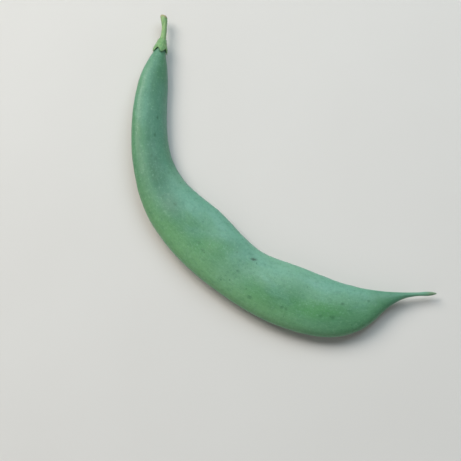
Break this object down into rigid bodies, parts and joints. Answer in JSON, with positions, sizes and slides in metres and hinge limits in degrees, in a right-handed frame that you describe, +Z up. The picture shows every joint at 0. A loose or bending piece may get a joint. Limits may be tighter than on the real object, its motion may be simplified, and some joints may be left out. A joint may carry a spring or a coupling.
{
  "type": "romano bean",
  "caption": "Flat green snap-bean pod, curved, with a thin beak at one end and a small calyx and stalk at the other, lying on its side.",
  "frame": {"origin": "middle of the footprint, on the surface that the bean lies on", "axes": "+X from the stalk to the tip of the beak, +Y to the hollow side of the curve, +Z up, out of the upper wall of the pod"},
  "size_m": [0.1264, 0.0556, 0.0082],
  "materials": {
    "pod_skin": "satin plant skin",
    "calyx_skin": "matte plant skin",
    "stalk_skin": "matte plant skin"
  },
  "bodies": {
    "root": {"pod": "pod_skin", "calyx": "calyx_skin", "pedicel": "stalk_skin"}
  },
  "joints": []
}
